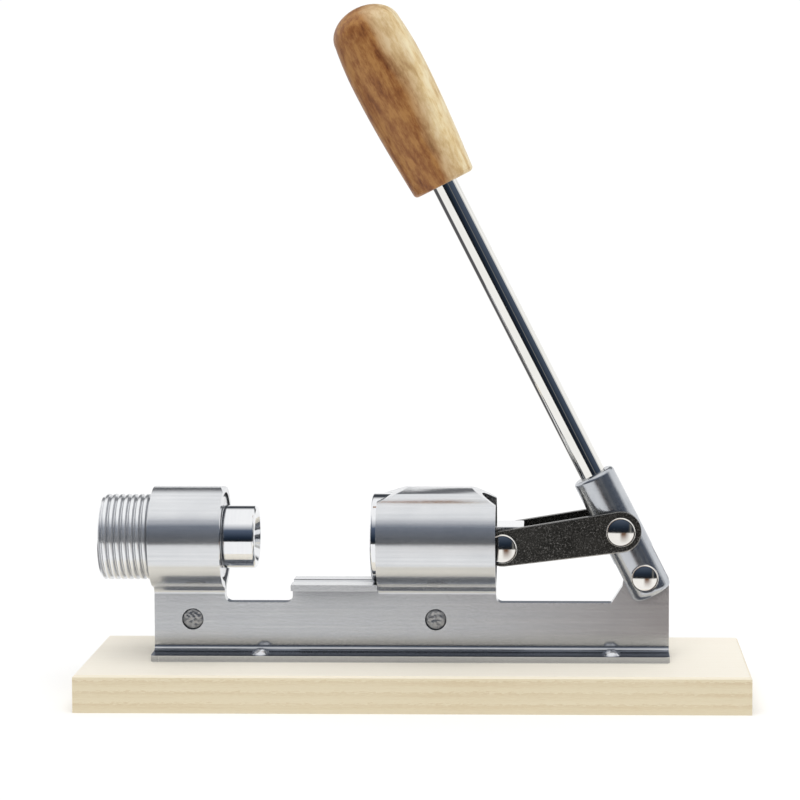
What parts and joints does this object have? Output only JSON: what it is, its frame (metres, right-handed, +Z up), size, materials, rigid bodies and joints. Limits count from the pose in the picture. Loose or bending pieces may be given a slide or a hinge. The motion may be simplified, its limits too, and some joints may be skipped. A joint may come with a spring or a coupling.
{
  "type": "lever nutcracker",
  "caption": "Bench nutcracker on a wooden base: a long wood-gripped lever drives a cupped ram through links towards a screw-adjusted anvil cup.",
  "frame": {"origin": "centre of the base board's underside", "axes": "+X along the base from the anvil to the lever, +Z up, +Y away from the side that is seen first"},
  "size_m": [0.25, 0.075, 0.262],
  "materials": {
    "pine": "planed, unvarnished",
    "frame_steel": "satin zinc plating",
    "rivet_steel": "rough, clinched",
    "screw_steel": "bright zinc plating",
    "turned_aluminium": "turned",
    "bright_chrome": "polished",
    "spring_steel": "blackened",
    "rivet_nickel": "polished nickel",
    "link_nickel": "polished nickel",
    "socket_steel": "satin zinc plating",
    "rod_chrome": "polished",
    "grip_wood": "turned, waxed"
  },
  "bodies": {
    "root": {"base_board": "pine", "frame_near": "frame_steel", "frame_far": "frame_steel", "web_rivets": "rivet_steel", "flange_screws": "screw_steel", "pivot_rivet": "rivet_nickel"},
    "lever": {"lever_socket": "socket_steel", "lever_rod": "rod_chrome", "lever_grip": "grip_wood"},
    "ram": {"ram": "bright_chrome", "ram_rivet": "rivet_nickel"},
    "links": {"link_near": "link_nickel", "link_far": "link_nickel", "link_rivet": "rivet_nickel"},
    "anvil": {"anvil_cup": "bright_chrome", "anvil_clip": "spring_steel"},
    "adjuster": {"adjuster_screw": "turned_aluminium"}
  },
  "joints": [
    {"name": "lever_swing", "type": "hinge", "parent": "root", "child": "lever", "pos_m": [0.0866, 0, 0.0453], "axis": [0, -1, 0], "range_deg": [-37, 23]},
    {"name": "ram_stroke", "type": "slide", "parent": "root", "child": "ram", "axis": [-1, 0, 0], "range_m": [-0.0138, 0.0086]},
    {"name": "link_swing", "type": "hinge", "parent": "ram", "child": "links", "pos_m": [0.03289, 0, 0.0569], "axis": [0, -1, 0], "range_deg": [-3.8, 6.2]},
    {"name": "anvil_travel", "type": "slide", "parent": "root", "child": "anvil", "axis": [1, 0, 0], "range_m": [-0.0101, 0.0176]},
    {"name": "adjuster_turn", "type": "hinge", "parent": "anvil", "child": "adjuster", "pos_m": [-0.0962, 0, 0.0596], "axis": [1, 0, 0], "range_deg": [-1440, 2520]}
  ],
  "couplings": [
    {"joint": "ram_stroke", "follows": "lever_swing", "m_per_rad": 0.0213},
    {"joint": "link_swing", "follows": "lever_swing", "ratio": -0.165},
    {"joint": "anvil_travel", "follows": "adjuster_turn", "m_per_rad": 0.00039789}
  ]
}
